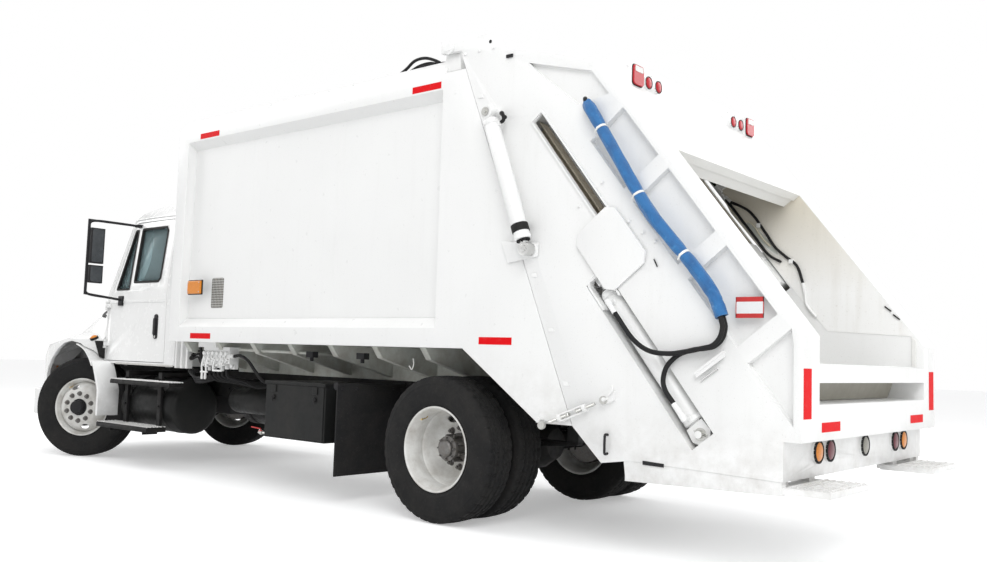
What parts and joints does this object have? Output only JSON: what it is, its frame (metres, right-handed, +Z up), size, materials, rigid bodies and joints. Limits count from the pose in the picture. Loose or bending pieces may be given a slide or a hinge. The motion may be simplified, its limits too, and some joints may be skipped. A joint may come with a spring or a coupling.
{
  "type": "garbage truck",
  "caption": "White rear-loading garbage truck with a conventional cab, a packer body and a lifting tailgate over an open hopper.",
  "frame": {"origin": "centre of the bounding box on the ground", "axes": "+Y to the rear, where the hopper opens, -Y the driving direction, +X the truck's left side, +Z up"},
  "size_m": [2.9222, 9.18, 3.485],
  "materials": {
    "white_paint": "gloss, dusty",
    "rim_white": "satin, road dirt",
    "chassis_black": "satin",
    "tyre_rubber": "matt",
    "flap_rubber": "matt",
    "cab_glass": "clear, tinted",
    "bare_steel": "polished rod",
    "seat_vinyl": "grained",
    "dash_plastic": "grained",
    "hose_wrap": "woven sleeve",
    "hose_rubber": "matt",
    "underside_paint": "satin, dirty"
  },
  "bodies": {
    "chassis": {"frame_rails": "chassis_black", "front_bumper": "white_paint", "front_axle": "chassis_black", "rear_axle": "chassis_black", "engine_block": "chassis_black", "fuel_tank_left": "chassis_black", "fuel_tank_right": "chassis_black", "tool_box": "chassis_black", "steps_left": "chassis_black", "steps_right": "chassis_black", "mudflap_front_left": "flap_rubber", "mudflap_front_right": "flap_rubber", "cab_shell": "white_paint", "windshield": "cab_glass", "rear_window": "cab_glass", "seats": "seat_vinyl", "dashboard": "dash_plastic", "body_shell": "white_paint", "body_subframe": "underside_paint", "valve_bank": "white_paint"},
    "knuckle_left": {"knuckle_left": "chassis_black"},
    "knuckle_right": {"knuckle_right": "chassis_black"},
    "wheel_front_left": {"tyre_front_left": "tyre_rubber", "rim_front_left": "rim_white"},
    "wheel_front_right": {"tyre_front_right": "tyre_rubber", "rim_front_right": "rim_white"},
    "wheels_rear_left": {"tyre_rear_left_outer": "tyre_rubber", "tyre_rear_left_inner": "tyre_rubber", "rim_rear_left": "rim_white"},
    "wheels_rear_right": {"tyre_rear_right_outer": "tyre_rubber", "tyre_rear_right_inner": "tyre_rubber", "rim_rear_right": "rim_white"},
    "door_left": {"door_left": "white_paint", "door_glass_left": "cab_glass", "mirror_left": "chassis_black"},
    "door_right": {"door_right": "white_paint", "door_glass_right": "cab_glass", "mirror_right": "chassis_black"},
    "hood": {"hood": "white_paint", "grille": "chassis_black"},
    "ejector": {"ejector_panel": "white_paint"},
    "tailgate": {"tailgate_shell": "white_paint", "packer_barrel_left": "white_paint", "packer_barrel_right": "white_paint", "hose_wrap_left": "hose_wrap", "hose_wrap_right": "hose_wrap", "hose_upper_left": "hose_rubber", "hose_upper_right": "hose_rubber", "hose_lower_left": "hose_rubber", "hose_lower_right": "hose_rubber"},
    "packer_carriage": {"packer_carriage": "white_paint"},
    "packer_blade": {"packer_blade": "white_paint"},
    "lift_barrel_left": {"lift_barrel_left": "white_paint"},
    "lift_barrel_right": {"lift_barrel_right": "white_paint"},
    "lift_rod_left": {"lift_rod_left": "bare_steel"},
    "lift_rod_right": {"lift_rod_right": "bare_steel"}
  },
  "joints": [
    {"name": "tailgate_lift", "type": "hinge", "parent": "chassis", "child": "tailgate", "pos_m": [0, 1.79, 3.42], "axis": [1, 0, 0], "range_deg": [0, 70]},
    {"name": "packer_slide", "type": "slide", "parent": "tailgate", "child": "packer_carriage", "axis": [0, -0.617, 0.7869], "range_m": [0, 0.8]},
    {"name": "packer_sweep", "type": "hinge", "parent": "packer_carriage", "child": "packer_blade", "pos_m": [0, 3.37484, 1.65526], "axis": [1, 0, 0], "range_deg": [0, 64]},
    {"name": "ejector_slide", "type": "slide", "parent": "chassis", "child": "ejector", "axis": [0, 1, 0], "range_m": [0, 2.8]},
    {"name": "steer_left", "type": "hinge", "parent": "chassis", "child": "knuckle_left", "pos_m": [0.88, -3.638, 0.52], "axis": [0, 0, 1], "range_deg": [-71.4, 8.6]},
    {"name": "steer_right", "type": "hinge", "parent": "chassis", "child": "knuckle_right", "pos_m": [-0.88, -3.638, 0.52], "axis": [0, 0, 1], "range_deg": [-61.2, 7.6]},
    {"name": "hood_tilt", "type": "hinge", "parent": "chassis", "child": "hood", "pos_m": [0, -4.49, 0.72], "axis": [1, 0, 0], "range_deg": [0, 60]},
    {"name": "door_left", "type": "hinge", "parent": "chassis", "child": "door_left", "pos_m": [1.045, -3.22, 1.4], "axis": [0, 0, -1], "range_deg": [0, 70]},
    {"name": "door_right", "type": "hinge", "parent": "chassis", "child": "door_right", "pos_m": [-1.045, -3.22, 1.4], "axis": [0, 0, 1], "range_deg": [0, 70]},
    {"name": "spin_front_left", "type": "hinge", "parent": "knuckle_left", "child": "wheel_front_left", "pos_m": [1.00803, -3.55985, 0.52], "axis": [0.8536, 0.521, 0], "continuous": true},
    {"name": "spin_front_right", "type": "hinge", "parent": "knuckle_right", "child": "wheel_front_right", "pos_m": [-1.01389, -3.70563, 0.52], "axis": [0.8926, 0.4509, 0], "continuous": true},
    {"name": "spin_rear_left", "type": "hinge", "parent": "chassis", "child": "wheels_rear_left", "pos_m": [0.897, 1.75, 0.52], "axis": [1, 0, 0], "continuous": true},
    {"name": "spin_rear_right", "type": "hinge", "parent": "chassis", "child": "wheels_rear_right", "pos_m": [-0.897, 1.75, 0.52], "axis": [1, 0, 0], "continuous": true},
    {"name": "lift_pin_left", "type": "hinge", "parent": "tailgate", "child": "lift_barrel_left", "pos_m": [1.3, 2.25, 2.86], "axis": [1, 0, 0], "range_deg": [-87, 1]},
    {"name": "lift_stroke_left", "type": "slide", "parent": "lift_barrel_left", "child": "lift_rod_left", "axis": [0, 0.3511, -0.9363], "range_m": [-0.005, 0.745]},
    {"name": "lift_pin_right", "type": "hinge", "parent": "tailgate", "child": "lift_barrel_right", "pos_m": [-1.3, 2.25, 2.86], "axis": [1, 0, 0], "range_deg": [-87, 1]},
    {"name": "lift_stroke_right", "type": "slide", "parent": "lift_barrel_right", "child": "lift_rod_right", "axis": [0, 0.3511, -0.9363], "range_m": [-0.005, 0.745]}
  ],
  "couplings": [
    {"joint": "steer_right", "follows": "steer_left", "ratio": 0.854},
    {"joint": "lift_pin_left", "follows": "tailgate_lift", "ratio": -1.2303},
    {"joint": "lift_stroke_left", "follows": "tailgate_lift", "m_per_rad": 0.6063},
    {"joint": "lift_pin_right", "follows": "tailgate_lift", "ratio": -1.2303},
    {"joint": "lift_stroke_right", "follows": "tailgate_lift", "m_per_rad": 0.6063}
  ]
}
